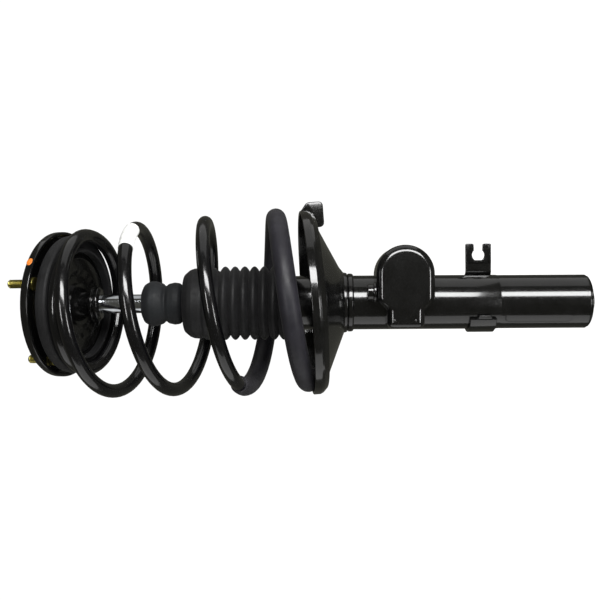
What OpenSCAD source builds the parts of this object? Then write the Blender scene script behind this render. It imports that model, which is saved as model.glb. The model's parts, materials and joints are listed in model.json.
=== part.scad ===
// Front suspension strut with its coil spring, spring seats, bump stop, dust boot and top mount.
// The frame stands on the lower end of the strut tube: +Z runs up the rod to the top mount,
// +X is the side of the hose bracket and of the seat's stop tab, and -Y is the side of the link bracket.

/* [Strut tube] */
// Outside diameter of the strut tube above its clamp land
tube_od = 51.6; // [46:0.2:60]
// Diameter of the clamp land, which the steering knuckle grips
clamp_od = 51; // [45:0.2:59]
// Length of the clamp land from the tube's lower end
clamp_len = 85; // [60:1:86]
// Wall of the strut tube
tube_wall = 2.5; // [1.5:0.5:4]
// Length of the tube from its lower end to its top
tube_len = 318; // [300:1:336]
// Depth of the domed base cap below the tube
base_drop = 6; // [5:0.5:16]
// Radius of the boss in the middle of the base cap
base_boss_r = 12.8; // [8:0.1:16]

/* [Damper] */
// Outside diameter of the pressure tube inside the strut tube
pressure_od = 36; // [32:0.5:40]
// Wall of the pressure tube
pressure_wall = 1.6; // [1:0.1:2.5]
// Diameter of the piston rod
rod_d = 18; // [14:0.5:22]
// Diameter of the threaded spigot on top of the rod
spigot_d = 14; // [10:0.5:16]
// Length of the rod guide
guide_len = 16; // [12:1:24]
// Travel of the rod into the tube before the bump stop is squeezed
travel = 80; // [40:1:82]

/* [Coil spring] */
// Diameter of the spring wire
wire_d = 13; // [10:0.5:14]
// Largest radius of the coils, at the centre of the wire
coil_r = 79.3; // [70:0.1:82]
// How much smaller the uppermost free coil is
coil_taper = 5.5; // [0:0.5:8]
// Greatest pitch of the coils
pitch_max = 67.9; // [60:0.1:72]
// Radius of the closed top coil
top_coil_r = 62.5; // [56:0.5:64]
// Lean of the spring towards -X over its height
lean_x = 12.4; // [0:0.1:16]
// Lean of the spring towards -Y over its height
lean_y = 5.9; // [0:0.1:12]

/* [Lower seat] */
// Height of the lower seat's lip on the strut axis
seat_z = 266.8; // [255:0.1:275]
// Radius of the lower seat's lip
seat_r = 88; // [84:0.5:95]
// Depth of the lower seat inside its lip
seat_depth = 11.5; // [8:0.5:16]
// Thickness of the lower seat's sheet
seat_sheet = 2.5; // [2:0.5:4]
// Tilt that raises the +X side of the lower seat
seat_tilt_x = 4.1; // [0:0.1:6]
// Tilt that lowers the -Y side of the lower seat
seat_tilt_y = 3.4; // [0:0.1:6]
// Outside diameter of the rubber sleeve on the lowest coil
sleeve_d = 18.6; // [16:0.1:19]

/* [Top mount] */
// Tilt of the top mount, which raises its -Y side
mount_tilt = 15; // [5:0.5:18]
// Outside radius of the mount plate
plate_r = 69.2; // [66:0.1:80]
// Thickness of the mount plate
plate_t = 3; // [2:0.5:4]
// Pitch circle diameter of the studs
stud_pcd = 110; // [100:1:114]
// Diameter of the studs
stud_d = 8; // [6:1:10]
// Length of the studs above the mount plate
stud_len = 21; // [15:1:30]
// Number of studs
stud_count = 4; // [3:1:5]
// Number of bearing balls
ball_count = 24; // [16:1:28]
// Diameter of the bearing balls
ball_d = 6; // [5:0.5:6]

/* [Bump stop and boot] */
// Outside diameter of the bump stop's upper lobe
bump_d = 43; // [36:0.5:48]
// Length of the bump stop
bump_len = 58; // [50:1:60]
// Outside diameter of the boot's folds
boot_d = 70.6; // [66:0.1:74]
// Wall of the boot
boot_wall = 1.8; // [1:0.1:2.5]
// Number of folds in the boot
boot_folds = 7; // [5:1:8]

/* [Brackets] */
// Height of the link bracket's middle above the tube's lower end
link_z = 175.5; // [140:0.5:200]
// Width of the link bracket along the tube
link_w = 53.5; // [44:0.5:60]
// Distance from the tube's axis to the link bracket's face
link_face = 47; // [42:0.5:54]
// Tapped hole of the link nut, radius
link_hole_r = 4.25; // [3:0.05:5]
// Height of the hose bracket's middle above the tube's lower end
hose_z = 100.8; // [96:0.1:120]
// Width of the hose bracket along the tube
hose_w = 24.5; // [20:0.5:30]
// Radius of the hose bracket's keyhole
hose_hole_r = 6; // [4:0.1:7]

/* [Hidden] */
$fn = 96;

// Clearance of a fit between two pieces of one body, and running fit of a sliding or turning piece
fit = 0.05;
run = 0.06;
// Overlap that makes a cut pass right through
cut = 1;
paint = "#1c1c1e";
steel = "#b9bcc0";
rubber = "#262628";

tube_r = tube_od / 2;
clamp_r = clamp_od / 2;
tube_in = tube_r - tube_wall;
rod_r = rod_d / 2;
spigot_r = spigot_d / 2;
wire_r = wire_d / 2;
sleeve_r = sleeve_d / 2;
press_r = pressure_od / 2;
press_in = press_r - pressure_wall;

// The spring's centre line is a function of the turn t, counted down from +X at the top of coil one.
// Turns below zero are the closed top coil, which lies flat in the tilt of the top mount.
turns = 3.55;
top_turn = -0.85;
sleeve_turn = 2.45;
pitch_peak = 2.1;
pitch_spread = 2.9;
tilt_top = 13.6;
tilt_low = 0.8;
up_top = 2.7;
up_low = 1.0;
top_blend = 0.3;
function mix(a, b, s) = a + (b - a) * s;
function soft(s) = let(c = min(max(s, 0), 1)) c * c * (3 - 2 * c);
function coil_rad(t) = coil_r - coil_taper * pow(1 - t / turns, 3);
function drop(t) = pitch_max * (t - (pow(t - pitch_peak, 3) + pow(pitch_peak, 3))
    / (3 * pitch_spread * pitch_spread));
function coil_x(t) = coil_rad(t) * cos(360 * t) + 3.6 - lean_x * (1 - t / turns);
function coil_y(t) = -coil_rad(t) * sin(360 * t) - lean_y * (1 - t / turns);
function coil_tilt(t) = coil_rad(t) * (sin(360 * t) * mix(tan(tilt_top), tan(tilt_low), t / turns)
    + cos(360 * t) * mix(tan(up_top), tan(up_low), t / turns));
// Height of the lower seat's floor under a point
function floor_z(x, y) = seat_z - seat_depth + x * tan(seat_tilt_x) + y * tan(seat_tilt_y);
// The sleeved end of the wire rests on the seat's floor
coil_base = floor_z(coil_x(turns), coil_y(turns)) + sleeve_r + 0.2 + drop(turns) - coil_tilt(turns);
function coil_z(t) = coil_base - drop(t) + coil_tilt(t);
function top_rad(t) = top_coil_r + 5.8 * (t + 0.25);
// The mount is set so that the closed top coil meets its isolator
wire_gap = 0.3;
seat_pad = 3.5;
seat_top = -17;
seat_under = seat_top - 3;
coil_depth = seat_pad - seat_under + wire_r + wire_gap;
mount_z = coil_z(0) + coil_depth / cos(mount_tilt) + coil_y(0) * tan(mount_tilt);
function top_y(t) = -top_rad(t) * sin(360 * t) * cos(mount_tilt) - coil_depth * sin(mount_tilt);
function flat_z(x, y) = mount_z - coil_depth / cos(mount_tilt) - y * tan(mount_tilt);
function wire_at(t) = t >= 0 ? [coil_x(t), coil_y(t), coil_z(t)] :
    let(s = soft(-t / top_blend), x = mix(coil_x(t), top_rad(t) * cos(360 * t), s),
        y = mix(coil_y(t), top_y(t), s)) [x, y, flat_z(x, y)];

// Stations of the rod and of what sits on it
guide_z = tube_len - guide_len - 6;
rebound_z = guide_z - 14;
piston_z = rebound_z - 28;
cup_len = 10;
cup_z = mount_z - 41;
shoulder_z = cup_z + 5;
core_top = mount_z + 11;
nut_h = 12;
nut_z = core_top + 3;
rod_top = nut_z + nut_h + 5;
// The bump stop hangs so that it meets the striker cap as it meets the stop cup
cap_top = tube_len + 3;
bump_z = cap_top + 44.6;
boot_top = bump_z + 18;
boot_low = seat_z + 13.5;

// A closed tube swept along points, with the points of a flat outline as its section
function unit(v) = v / norm(v);
function heading(p, i) = unit(p[min(i + 1, len(p) - 1)] - p[max(i - 1, 0)]);
function ring(p, i, r, n) = let(d = heading(p, i), a = unit(cross([0, 0, 1], d)), b = cross(d, a))
    [for (k = [0 : n - 1]) p[i] + r * (a * cos(360 * k / n) + b * sin(360 * k / n))];
module sweep(p, r, n) {
    m = len(p);
    points = [for (i = [0 : m - 1]) each ring(p, i, r, n)];
    sides = [for (i = [0 : m - 2], k = [0 : n - 1]) let(j = (k + 1) % n)
        each [[i * n + k, (i + 1) * n + k, (i + 1) * n + j], [i * n + k, (i + 1) * n + j, i * n + j]]];
    polyhedron(points, concat([[for (k = [0 : n - 1]) k]], sides,
        [[for (k = [n - 1 : -1 : 0]) (m - 1) * n + k]]));
}
// A wire tube with an inner hole, swept along points
module sweep_shell(p, r, r_in, n) {
    m = len(p);
    outer = [for (i = [0 : m - 1]) each ring(p, i, r, n)];
    inner = [for (i = [0 : m - 1]) each ring(p, i, r_in, n)];
    q = m * n;
    sides = [for (i = [0 : m - 2], k = [0 : n - 1]) let(j = (k + 1) % n, a = i * n, b = a + n)
        each [[a + k, b + k, b + j], [a + k, b + j, a + j],
            [q + a + k, q + b + j, q + b + k], [q + a + k, q + a + j, q + b + j]]];
    ends = [for (k = [0 : n - 1]) let(j = (k + 1) % n, e = (m - 1) * n)
        each [[k, j, q + j], [k, q + j, q + k], [e + k, q + e + j, e + j], [e + k, q + e + k, q + e + j]]];
    polyhedron(concat(outer, inner), concat(sides, ends));
}
function wire_points(a, b, step) = let(n = round((b - a) / step))
    [for (i = [0 : n]) wire_at(a + (b - a) * i / n)];

// A ring of one section, and a plain round tube
module tube(r_out, r_in, z_low, z_high)
    translate([0, 0, z_low]) rotate_extrude()
        translate([r_in, 0]) square([r_out - r_in, z_high - z_low]);
// The frame of the top mount, with its origin where the mount plate crosses the rod's axis
module at_mount() translate([0, 0, mount_z]) rotate([-mount_tilt, 0, 0]) children();
// The frame of the lower seat, with its origin where the lip's plane crosses the tube's axis
module at_seat() translate([0, 0, seat_z]) rotate([seat_tilt_y, -seat_tilt_x, 0]) children();

// The clamp land has a shallow pressed panel that sets the strut's angle in its clamp
panel_low = 18;
panel_len = 62;
panel_w = 18.5;
panel_depth = 0.45;
panel_angle = -117.5;
module rounded(w, h, r) {
    square([w - 2 * r, h], center = true);
    square([w, h - 2 * r], center = true);
    for (x = [-1, 1], y = [-1, 1]) translate([x * (w / 2 - r), y * (h / 2 - r)]) circle(r);
}
module strut_tube() color(paint) difference() {
    rotate_extrude() polygon([[tube_in, 0], [clamp_r, 0], [clamp_r, clamp_len], [tube_r, clamp_len + 0.4],
        [tube_r, tube_len], [tube_in, tube_len]]);
    rotate([0, 0, panel_angle]) intersection() {
        tube(clamp_r + 2, clamp_r - panel_depth, 0, clamp_len);
        translate([0, 0, panel_low + panel_len / 2]) rotate([0, 90, 0])
            linear_extrude(clamp_r + 3) rounded(panel_len, panel_w, 5);
    }
}

module base_cap() color(paint) rotate_extrude() polygon([[0, 4], [tube_in - fit, 4], [tube_in - fit, 0],
    [clamp_r, 0], [clamp_r - 1, -1.6], [base_boss_r + 1, 2.6 - base_drop], [base_boss_r - 2, 0.8 - base_drop],
    [base_boss_r / 2, 0.2 - base_drop], [0, -base_drop]]);

// The lower seat is a dish on a cone, which is welded to the tube by a neck and a collar below it
neck_r = tube_r + 3;
neck_z = 39;
cone_z = 34;
dish_in = 68;
module lower_spring_seat() color(paint) difference() {
    union() {
        at_seat() {
            rotate_extrude() polygon([[seat_r, 0], [seat_r - seat_sheet, 0],
                [seat_r - seat_sheet, 1.5 - seat_depth], [seat_r - seat_sheet - 1.5, -seat_depth],
                [dish_in, -seat_depth], [clamp_r - 3, seat_sheet - cone_z], [clamp_r - 3, -cone_z],
                [neck_r, -cone_z + 1], [dish_in + 6, -seat_depth - seat_sheet], [seat_r - 11, -seat_depth - seat_sheet],
                [seat_r - 3, 1 - seat_depth], [seat_r, 4 - seat_depth]]);
            stop_tab();
        }
        translate([0, 0, seat_z - neck_z]) tube(neck_r, clamp_r - 3, 0, neck_z - cone_z + 6);
    }
    cylinder(r = tube_r + fit, h = seat_z + cut);
}
// The tab that stands out of the lip and keeps the spring from turning, with a flange along its top
tab_out = 8;
tab_len = 24.5;
tab_low = 23.3;
tab_top = seat_depth + seat_sheet - 1.2;
tab_t = 3.5;
flange_t = 3;
module stop_tab() translate([0, tab_t / 2, 0]) rotate([90, 0, 0]) {
    linear_extrude(tab_t) {
        translate([seat_r + tab_out - tab_len / 2, -(tab_low + tab_top) / 2])
            rounded(tab_len, tab_low - tab_top, 4);
        polygon([[seat_r - 1, 0], [seat_r + tab_out - 1, -7], [seat_r + tab_out, -9],
            [seat_r + tab_out, 4 - tab_low], [seat_r - 1, 4 - tab_low]]);
    }
    translate([seat_r + tab_out - flange_t, 4 - tab_low, -6])
        cube([flange_t, tab_low - 13, 6 + tab_t]);
}

collar_len = 5.8;
module seat_collar() color(paint) translate([0, 0, seat_z - neck_z - collar_len]) rotate_extrude()
    polygon([[tube_r + fit, 0], [tube_r + 1, 0], [tube_r + 1.7, 0.8], [tube_r + 1.9, collar_len - 0.8],
        [tube_r + 1.2, collar_len - fit], [tube_r + fit, collar_len - fit]]);

// The link bracket is a deep-drawn cap: its outline is a half-round on a tapering skirt
link_top = 26;
link_skirt = 24;
link_sheet = 3;
module link_outline(inset) {
    r = link_w / 2 - inset;
    corner = max(6 - inset, 1);
    side = link_w * 0.31 - 6;
    low = 6 - link_skirt;
    translate([0, link_top]) circle(r);
    translate([-r, 2]) square([2 * r, link_top - 2]);
    polygon([[-r, 2.5], [r, 2.5], [side + corner, low], [-side - corner, low]]);
    for (s = [-1, 1]) translate([s * side, low]) circle(corner);
    translate([-side, low - corner]) square([2 * side, corner + 0.5]);
}
// Outline standing across -Y: its first coordinate runs down the tube and its second along +X
module toward_front(y_from, y_to) translate([0, -y_from, link_z]) rotate([90, 90, 0])
    linear_extrude(y_to - y_from) children();
bolt_x = 9.5;
bolt_y = 35.2;
module link_bracket() color(paint) difference() {
    union() {
        toward_front(6, link_face - 5) link_outline(0);
        toward_front(link_face - 5, link_face - 2.5) link_outline(1.5);
        toward_front(link_face - 2.5, link_face) link_outline(5);
    }
    toward_front(6 - cut, link_face - 5) link_outline(link_sheet);
    toward_front(link_face - 6, link_face - link_sheet) link_outline(6);
    translate([0, 0, link_z - link_w]) cylinder(r = tube_r + 0.2, h = 2 * link_w);
    translate([bolt_x, -bolt_y, link_z - link_w]) cylinder(r = 5.4, h = 2 * link_w);
}
module link_nut() color(paint) translate([bolt_x, -bolt_y, link_z + link_w / 2 + fit]) difference() {
    union() {
        cylinder(r = 9.2, h = 2.4);
        cylinder(r = 8.2, h = 8, $fn = 6);
    }
    translate([0, 0, -cut]) cylinder(r = link_hole_r, h = 8 + 2 * cut);
}

// The hose bracket is a strap round the back of the tube with a slotted plate standing on it
hose_top = 56;
strap_t = 3;
strap_from = -4;
strap_to = 234;
slot_w = 8.2;
slot_x = hose_top - 11;
plate_y = 3.5;
plate_inset = 0.4;
module hose_bracket() color(paint) translate([0, 0, hose_z - hose_w / 2]) difference() {
    union() {
        rotate([0, 0, strap_from]) rotate_extrude(angle = strap_to - strap_from) translate([tube_r + fit, 0])
            square([strap_t, hose_w]);
        translate([tube_r + 1, plate_y, plate_inset])
            cube([hose_top - tube_r - 1, strap_t, hose_w - 2 * plate_inset]);
        rotate([0, 0, strap_to]) translate([tube_r + 0.8, -2, 5]) cube([strap_t - 1.4, 6, hose_w - 12]);
    }
    translate([slot_x, plate_y - cut, hose_w / 2]) rotate([-90, 0, 0])
        cylinder(r = hose_hole_r, h = strap_t + 2 * cut);
    translate([slot_x, plate_y - cut, hose_w / 2 - slot_w / 2]) cube([20, strap_t + 2 * cut, slot_w]);
}

module pressure_tube() color(steel) tube(press_r, press_in, 16, guide_z + 4);

module base_valve() color(steel) difference() {
    union() {
        translate([0, 0, 4.5]) cylinder(r = tube_in - 0.4, h = 5);
        translate([0, 0, 9]) cylinder(r = press_r, h = 7 - fit);
        translate([0, 0, 15]) cylinder(r = press_in - fit, h = 8);
    }
    for (a = [0 : 60 : 300]) rotate([0, 0, a]) translate([9, 0, 3]) cylinder(r = 1.6, h = 22, $fn = 24);
    for (a = [30 : 90 : 300]) rotate([0, 0, a]) translate([tube_in - 2, 0, 3])
        cylinder(r = 2.5, h = 4, $fn = 24);
}

module rod_guide() color(steel) translate([0, 0, guide_z]) difference() {
    rotate_extrude() polygon([[rod_r + run, 0], [press_in - fit, 0], [press_in - fit, 4 + fit],
        [tube_in - fit, 4 + fit], [tube_in - fit, guide_len], [rod_r + 3, guide_len],
        [rod_r + 3, guide_len - 3], [rod_r + run, guide_len - 3]]);
}
module rod_seal() color(rubber) translate([0, 0, guide_z + guide_len + fit]) rotate_extrude()
    polygon([[rod_r + run, 0], [tube_in - fit, 0], [tube_in - fit, 5], [rod_r + 4, 5],
        [rod_r + 1.5, 4.2], [rod_r + run, 4.6]]);
module striker_cap() color(steel) rotate_extrude() polygon([[rod_r + 1, cap_top], [tube_r + 0.6, cap_top],
    [tube_r + 1.6, cap_top - 1], [tube_r + 1.6, tube_len - 16], [tube_r + fit, tube_len - 16],
    [tube_r + fit, tube_len + fit], [rod_r + 1, tube_len + fit]]);

// Wire stations for the swept pieces
wire_step = 1 / 40;
module coil_spring() color(paint) sweep(wire_points(top_turn, turns, wire_step), wire_r, 16);
module lower_isolator() color(rubber)
    sweep_shell(wire_points(sleeve_turn, turns, wire_step), sleeve_r, wire_r + 0.1, 16);
tag_turn = 1.05;
tag_len = 0.075;
module spring_tag() color("white")
    sweep_shell(wire_points(tag_turn, tag_turn + tag_len, wire_step), wire_r + 0.45, wire_r + 0.1, 16);

module piston_rod() color(steel) difference() {
    union() {
        translate([0, 0, piston_z - 12]) cylinder(r = 6, h = 14);
        translate([0, 0, piston_z]) cylinder(r = 6, h = 24);
        translate([0, 0, piston_z + 20 + fit]) cylinder(r = rod_r, h = shoulder_z - piston_z - 20 - 2 * fit);
        translate([0, 0, shoulder_z - 1]) cylinder(r = spigot_r, h = rod_top - shoulder_z);
        translate([0, 0, rod_top - 1]) cylinder(r1 = spigot_r, r2 = spigot_r - 1, h = 1);
    }
    translate([0, 0, rod_top - 6]) cylinder(r = 3.4, h = 7, $fn = 6);
}
module piston() color(steel) translate([0, 0, piston_z]) difference() {
    tube(press_in - 0.4, 6 + fit, 0, 20);
    tube(press_in, press_in - 1.4, 4, 16);
    for (a = [0 : 45 : 315]) rotate([0, 0, a]) translate([10.6, 0, -cut])
        cylinder(r = 1.5, h = 20 + 2 * cut, $fn = 24);
}
module piston_band() color("#3f5b4c") tube(press_in - run, press_in - 1.4 + fit, piston_z + 4 + fit,
    piston_z + 16 - fit);
module piston_nut() color(steel) translate([0, 0, piston_z - 10 - fit]) difference() {
    cylinder(r = 10.4, h = 10, $fn = 6);
    translate([0, 0, -cut]) cylinder(r = 6 + fit, h = 10 + 2 * cut);
}
module rebound_stop() color(rubber) tube(press_in - 1.2, rod_r + fit, rebound_z, rebound_z + 13);

module stop_cup() color(paint) translate([0, 0, cup_z]) rotate_extrude() polygon([[rod_r + fit, 0],
    [14.5, 0], [17, 1.6], [17, cup_len - 1], [16, cup_len], [spigot_r + fit, cup_len],
    [spigot_r + fit, 5], [rod_r + fit, 5]]);

// The seat's cup carries the closed top coil through a rubber pad
core_r = 12.9;
cup_r = plate_r - 2.2;
pad_in = top_coil_r - wire_r - 6;
module upper_isolator() color(rubber) at_mount() rotate_extrude() polygon([[pad_in, seat_under - fit],
    [cup_r, seat_under - fit], [cup_r, seat_under - seat_pad], [pad_in + 2.6, seat_under - seat_pad],
    [pad_in + 2, seat_under - seat_pad - 5], [pad_in, seat_under - seat_pad - 5]]);
module upper_spring_seat() color(paint) at_mount() difference() {
    rotate_extrude() polygon([[core_r + fit, seat_under], [cup_r - 2, seat_under], [cup_r, seat_under + 2],
        [cup_r, -10], [cup_r - 3, -10], [cup_r - 3, seat_top], [core_r + fit, seat_top]]);
    for (a = [20 : 60 : 320]) rotate([0, 0, a]) translate([46, 0, seat_under - cut])
        cylinder(r = 4, h = 5 + cut);
}
flange_low = seat_under - 3;
module rod_core() color(steel) difference() {
    union() {
        at_mount() translate([0, 0, flange_low]) cylinder(r = 20, h = 3 - fit);
        intersection() {
            at_mount() translate([0, 0, flange_low + 1]) cylinder(r = core_r, h = 50);
            cylinder(r = 40, h = core_top);
        }
        intersection() {
            translate([0, 0, cup_z + cup_len + fit]) cylinder(r = 12, h = 40);
            at_mount() translate([0, 0, flange_low - 40]) cylinder(r = 60, h = 41);
        }
    }
    cylinder(r = spigot_r + fit, h = core_top + cut);
}
module core_washer() color(steel) tube(18, spigot_r + fit, core_top + fit, nut_z);
module rod_nut() color(steel) translate([0, 0, nut_z + fit]) difference() {
    union() {
        cylinder(r = 13.5, h = 2);
        cylinder(r = 12.1, h = nut_h, $fn = 6);
    }
    translate([0, 0, -cut]) cylinder(r = spigot_r + fit, h = nut_h + 2 * cut);
}

// Thrust bearing between the seat and the mount plate
race_r = 33;
race_half = 6;
ball_z = -10;
race_low = seat_top + fit;
module groove() rotate_extrude() translate([race_r, ball_z]) circle(r = ball_d / 2 + run);
module bearing_lower_race() color(steel) at_mount() difference() {
    tube(race_r + race_half, race_r - race_half, race_low, ball_z - 2);
    groove();
}
module bearing_upper_race() color(steel) at_mount() difference() {
    tube(race_r + race_half, race_r - race_half, ball_z + 2, -plate_t - fit);
    groove();
}
module bearing_cage() color("#8a7d5a") at_mount() difference() {
    tube(race_r + race_half - 1, race_r - race_half + 1, ball_z - 1, ball_z + 1);
    for (i = [0 : ball_count - 1]) rotate([0, 0, 360 * i / ball_count])
        translate([race_r, 0, ball_z - 2]) cylinder(r = ball_d / 2 + 0.08, h = 4);
}
module bearing_balls() color(steel) at_mount() for (i = [0 : ball_count - 1])
    rotate([0, 0, 360 * i / ball_count]) translate([race_r, 0, ball_z]) sphere(r = ball_d / 2);

// The mount plate is a stamped dish with a hat in its middle that holds the bonded rubber
hat_r = 38;
hat_rise = 14;
hat_hole = 24;
rubber_in = 16;
// Radius of the studs' knurled shoulder, which is pressed into the plate
knurl_r = stud_d / 2 + 0.5;
module mount_plate() color(paint) at_mount() difference() {
    rotate_extrude() polygon([[plate_r, -8], [plate_r, -1], [plate_r - 1, 0], [hat_r + 4, 0],
        [hat_r, 3], [hat_r - 2, hat_rise], [hat_hole, hat_rise], [hat_hole, hat_rise - plate_t],
        [hat_r - 5, hat_rise - plate_t], [hat_r - 4, -plate_t], [plate_r - 3, -plate_t], [plate_r - 3, -8]]);
    studs_at() translate([0, 0, -plate_t - cut]) cylinder(r = knurl_r + fit, h = plate_t + 2 * cut);
}
module studs_at() for (i = [0 : stud_count - 1]) rotate([0, 0, -70 - 360 * i / stud_count])
    translate([stud_pcd / 2, 0, 0]) children();
module mount_studs() color("#c9b458") at_mount() studs_at() {
    translate([0, 0, -plate_t - 3]) cylinder(r = stud_d / 2 + 2.2, h = 3 - fit);
    translate([0, 0, -plate_t - 1]) cylinder(r = knurl_r, h = plate_t + 1);
    translate([0, 0, -1]) cylinder(r = stud_d / 2, h = stud_len);
    translate([0, 0, stud_len - 1]) cylinder(r1 = stud_d / 2, r2 = stud_d / 2 - 1, h = 1);
}
rubber_low = -9;
module mount_rubber() color(rubber) at_mount() rotate_extrude() polygon([
    [rubber_in + fit, rubber_low], [race_r - race_half - 1, rubber_low], [race_r - race_half - 1, -plate_t],
    [hat_r - 4 - fit, -plate_t], [hat_r - 5 - fit, hat_rise - plate_t - fit],
    [hat_hole + 3, hat_rise - plate_t - fit], [20, 4], [rubber_in + fit, 4]]);
module mount_sleeve() color(steel) at_mount() tube(rubber_in, core_r + run, rubber_low - 2, 4);

groove_r = 15;
module bump_stop() color(rubber) translate([0, 0, bump_z]) rotate_extrude() polygon(concat(
    [[rod_r + 0.08, 0], [12, 0], [16, 2]], lobe(18, 3, 12), [[groove_r, 14], [groove_r, 18]],
    lobe(bump_d / 2 - 1.6, 19, 34), [[16, 36]], lobe(bump_d / 2, 37, bump_len - 3),
    [[14, bump_len], [rod_r + 0.08, bump_len]]));
// Half-round bulge of radius r between two heights
function lobe(r, low, high) = [for (a = [-80 : 20 : 80]) let(c = (low + high) / 2, h = (high - low) / 2)
    [r - 4 + 4 * pow(cos(a), 0.5), c + h * sin(a)]];

// Folded rubber boot: a plain shoulder that hangs on the bump stop, and folds below it
fold_top = boot_top - 34;
fold_pitch = (fold_top - boot_low - 4) / boot_folds;
shoulder_r = boot_d / 2 - 2.7;
valley_r = tube_r + 4;
function fold_z(k) = boot_low + 4 + fold_pitch * k;
boot_outer = concat([[valley_r, boot_low], [valley_r, boot_low + 3]],
    [for (k = [0 : boot_folds - 1]) each [[valley_r, fold_z(k)], [boot_d / 2 - 1, fold_z(k + 0.38)],
        [boot_d / 2, fold_z(k + 0.5)], [boot_d / 2 - 1, fold_z(k + 0.62)]]],
    [[valley_r, fold_top], [shoulder_r, fold_top + 4], [shoulder_r, boot_top - 8],
        [shoulder_r - 4, boot_top - 2], [shoulder_r - 9, boot_top], [groove_r + fit, boot_top]]);
boot_inner = [for (i = [len(boot_outer) - 1 : -1 : 0]) let(p = boot_outer[i])
    [p[0] - (i == len(boot_outer) - 1 ? 0 : boot_wall), p[1] - (i > len(boot_outer) - 4 ? boot_wall : 0)]];
module dust_boot() color(rubber) rotate_extrude() polygon(concat(boot_outer, boot_inner));

strut_tube();
base_cap();
lower_spring_seat();
seat_collar();
link_bracket();
link_nut();
hose_bracket();
pressure_tube();
base_valve();
rod_guide();
rod_seal();
striker_cap();
lower_isolator();
piston_rod();
piston();
piston_band();
piston_nut();
rebound_stop();
stop_cup();
coil_spring();
spring_tag();
upper_isolator();
upper_spring_seat();
rod_core();
core_washer();
rod_nut();
bearing_lower_race();
bearing_cage();
bearing_balls();
bearing_upper_race();
mount_plate();
mount_rubber();
mount_sleeve();
mount_studs();
bump_stop();
dust_boot();
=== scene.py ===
import json
import math

import bmesh
import bpy
from bpy.props import FloatProperty, FloatVectorProperty, IntProperty, PointerProperty
from mathutils import Matrix, Vector


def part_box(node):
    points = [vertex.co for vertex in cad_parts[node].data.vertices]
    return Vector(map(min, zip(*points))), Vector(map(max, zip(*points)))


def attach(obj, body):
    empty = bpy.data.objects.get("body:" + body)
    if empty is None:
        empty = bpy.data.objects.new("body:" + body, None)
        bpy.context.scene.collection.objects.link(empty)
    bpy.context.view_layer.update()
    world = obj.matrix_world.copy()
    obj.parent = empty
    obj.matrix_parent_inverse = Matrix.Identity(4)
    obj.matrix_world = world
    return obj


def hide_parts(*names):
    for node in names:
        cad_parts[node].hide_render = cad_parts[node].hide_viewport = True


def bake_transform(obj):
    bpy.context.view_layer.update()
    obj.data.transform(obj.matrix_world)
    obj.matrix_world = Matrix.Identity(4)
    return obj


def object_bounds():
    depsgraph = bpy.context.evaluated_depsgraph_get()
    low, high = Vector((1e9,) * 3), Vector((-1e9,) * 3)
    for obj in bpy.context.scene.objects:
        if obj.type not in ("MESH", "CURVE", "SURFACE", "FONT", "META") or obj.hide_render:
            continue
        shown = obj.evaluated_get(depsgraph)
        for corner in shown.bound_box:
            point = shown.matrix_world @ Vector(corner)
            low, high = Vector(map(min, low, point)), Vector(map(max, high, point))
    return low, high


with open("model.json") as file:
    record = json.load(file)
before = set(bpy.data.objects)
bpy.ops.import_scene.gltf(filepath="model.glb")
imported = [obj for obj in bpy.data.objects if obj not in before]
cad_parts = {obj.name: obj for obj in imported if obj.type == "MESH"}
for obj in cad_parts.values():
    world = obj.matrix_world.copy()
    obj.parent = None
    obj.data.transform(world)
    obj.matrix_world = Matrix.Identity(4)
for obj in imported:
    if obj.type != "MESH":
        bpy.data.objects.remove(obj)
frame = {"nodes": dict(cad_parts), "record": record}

bl_info = {
    "name": "Suspension strut",
    "version": (1, 0, 0),
    "blender": (4, 5, 0),
    "location": "3D View > Sidebar > Strut",
    "description": "Builds the outside pieces of a suspension strut around its frame",
    "category": "Object",
}

MM = 0.001
CAD_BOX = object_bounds()
MOUNTS = {m["name"]: m for m in frame["record"]["mounts"]}
STRUT = "strut"
ROD = "rod_and_seat"
TOP = "top_mount"
BUMP = "bump_and_boot"


def low_of(node):
    """Lowest corner of a frame node in millimetres."""
    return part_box(node)[0] / MM


def high_of(node):
    """Highest corner of a frame node in millimetres."""
    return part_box(node)[1] / MM


MOUNT_AXIS = Vector(MOUNTS["mount_studs"]["axis"])
MOUNT_TILT = math.asin(MOUNT_AXIS.y)
MOUNT_PLACE = Matrix.Translation(Vector(MOUNTS["mount_studs"]["pos_m"]) / MM)
MOUNT_FRAME = MOUNT_PLACE @ Matrix.Rotation(-MOUNT_TILT, 4, "X")


# ---------------------------------------------------------------- sizes and colours

def length(name, description, default):
    """A length in millimetres, shown as a plain number."""
    return FloatProperty(name=name, description=description, default=default, min=0.01, soft_max=600)


def colour(name, description, code):
    """A colour given as an sRGB hex value."""
    return FloatVectorProperty(name=name, description=description, default=linear(code), size=4,
                               min=0, max=1, subtype="COLOR")


def linear(code):
    """Linear RGBA of an sRGB hex value."""
    parts = [int(code[i:i + 2], 16) / 255 for i in (1, 3, 5)]
    return [c / 12.92 if c <= 0.04045 else ((c + 0.055) / 1.055) ** 2.4 for c in parts] + [1.0]


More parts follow.
